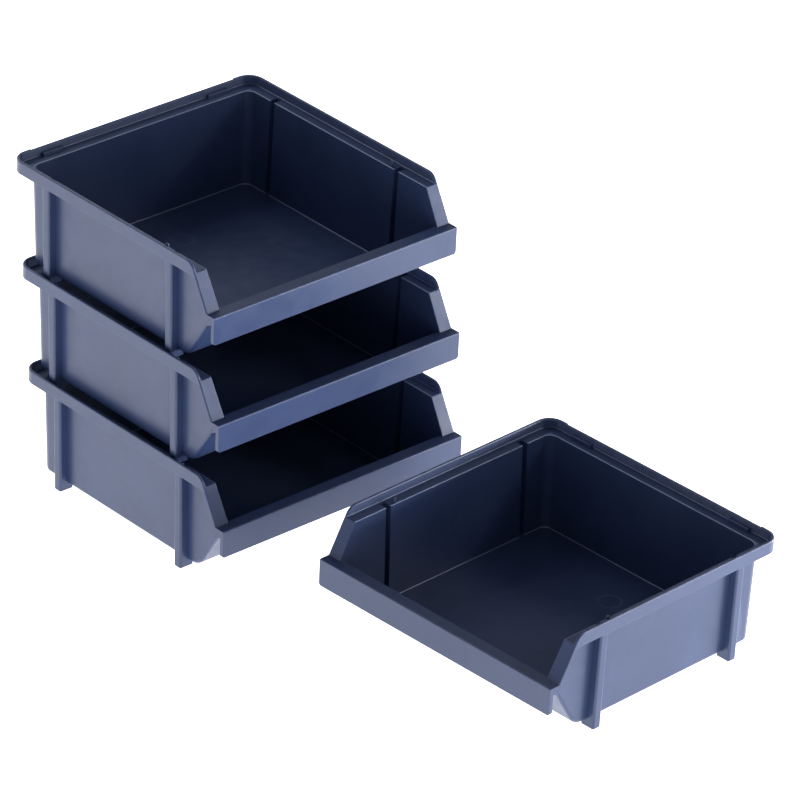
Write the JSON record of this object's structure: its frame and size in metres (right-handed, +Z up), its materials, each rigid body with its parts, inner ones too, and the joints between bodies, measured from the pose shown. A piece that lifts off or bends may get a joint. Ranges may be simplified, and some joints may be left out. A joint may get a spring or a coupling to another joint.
{
  "type": "stacking parts tray set",
  "caption": "Identical open-front stacking trays for small parts: a stack with stepped fronts and a loose tray beside it, each with ledge, lip and ribbed walls.",
  "frame": {"origin": "centre of the set's footprint at the level of the surface it stands on", "axes": "+Z up; +Y from the open fronts of the stacked trays to their backs; +X to the right of someone facing the stack's open fronts"},
  "size_m": [0.2391, 0.4748, 0.2253],
  "materials": {
    "tray_plastic": "satin moulded polypropylene, dark navy blue, fine-grained on the rim and lip"
  },
  "bodies": {
    "tray_bottom": {"tray_bottom": "tray_plastic"},
    "tray_middle": {"tray_middle": "tray_plastic"},
    "tray_top": {"tray_top": "tray_plastic"},
    "tray_loose": {"tray_loose": "tray_plastic"}
  },
  "joints": [
    {"name": "lift_tray_middle", "type": "slide", "parent": "tray_bottom", "child": "tray_middle", "axis": [0, 0, 1], "range_m": [0, 0.1]},
    {"name": "lift_tray_top", "type": "slide", "parent": "tray_middle", "child": "tray_top", "axis": [0, 0, 1], "range_m": [0, 0.1]},
    {"name": "lift_tray_loose", "type": "slide", "parent": "tray_bottom", "child": "tray_loose", "axis": [0, 0, 1], "range_m": [0, 0.1]}
  ]
}
